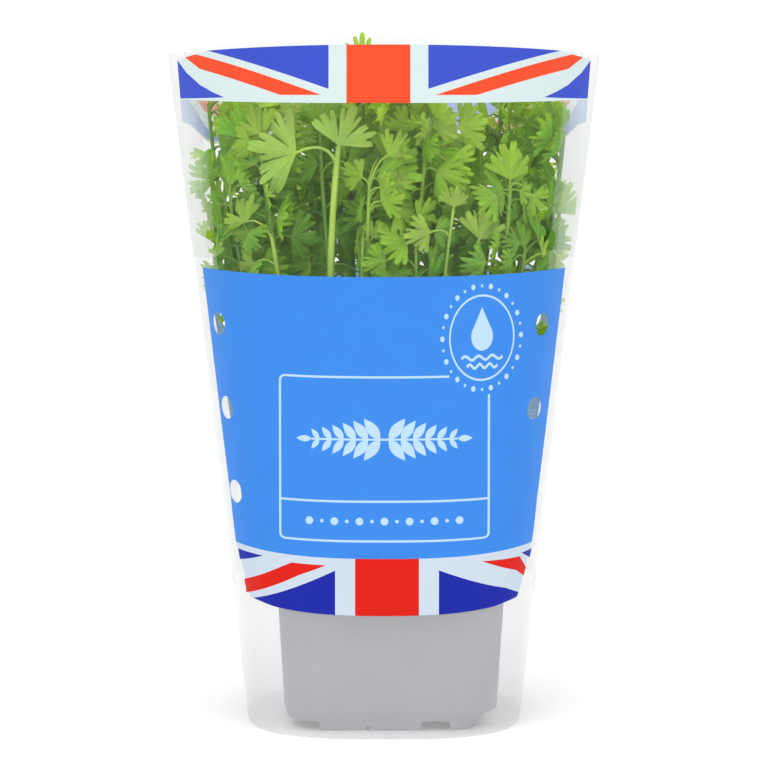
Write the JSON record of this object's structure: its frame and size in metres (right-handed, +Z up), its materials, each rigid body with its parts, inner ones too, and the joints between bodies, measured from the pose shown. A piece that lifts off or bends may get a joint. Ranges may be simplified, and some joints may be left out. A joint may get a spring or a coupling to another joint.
{
  "type": "potted parsley",
  "caption": "Curly leaf parsley growing in compost in a square plastic pot with drain feet, inside a tall clear printed film sleeve with vent holes.",
  "frame": {"origin": "on the floor, on the film sleeve's upright axis, at the middle of its footprint", "axes": "+Z up, -Y to the printed front panel, +X to the front panel's right as it is looked at"},
  "size_m": [0.1934, 0.124, 0.3066],
  "materials": {
    "clear_film": "clear polypropylene film, printed",
    "pot_plastic": "satin grey moulded polypropylene",
    "compost": "crumbly dark peat compost",
    "leaf": "fresh green, slightly waxy"
  },
  "bodies": {
    "root": {"sleeve": "clear_film", "pot": "pot_plastic", "compost": "compost", "leafy_stem_01": "leaf", "leafy_stem_02": "leaf", "leafy_stem_03": "leaf", "leafy_stem_04": "leaf", "leafy_stem_05": "leaf", "leafy_stem_06": "leaf", "leafy_stem_07": "leaf", "leafy_stem_08": "leaf", "leafy_stem_09": "leaf", "leafy_stem_10": "leaf", "leafy_stem_11": "leaf", "leafy_stem_12": "leaf", "leafy_stem_13": "leaf", "leafy_stem_14": "leaf", "leafy_stem_15": "leaf", "leafy_stem_16": "leaf", "leafy_stem_17": "leaf", "leafy_stem_18": "leaf", "leafy_stem_19": "leaf", "leafy_stem_20": "leaf", "leafy_stem_21": "leaf", "leafy_stem_22": "leaf", "leafy_stem_23": "leaf", "leafy_stem_24": "leaf", "leafy_stem_25": "leaf", "leafy_stem_26": "leaf", "leafy_stem_27": "leaf", "leafy_stem_28": "leaf", "leafy_stem_29": "leaf", "leafy_stem_30": "leaf", "leafy_stem_31": "leaf", "leafy_stem_32": "leaf", "leafy_stem_33": "leaf", "leafy_stem_34": "leaf", "leafy_stem_35": "leaf"}
  },
  "joints": []
}
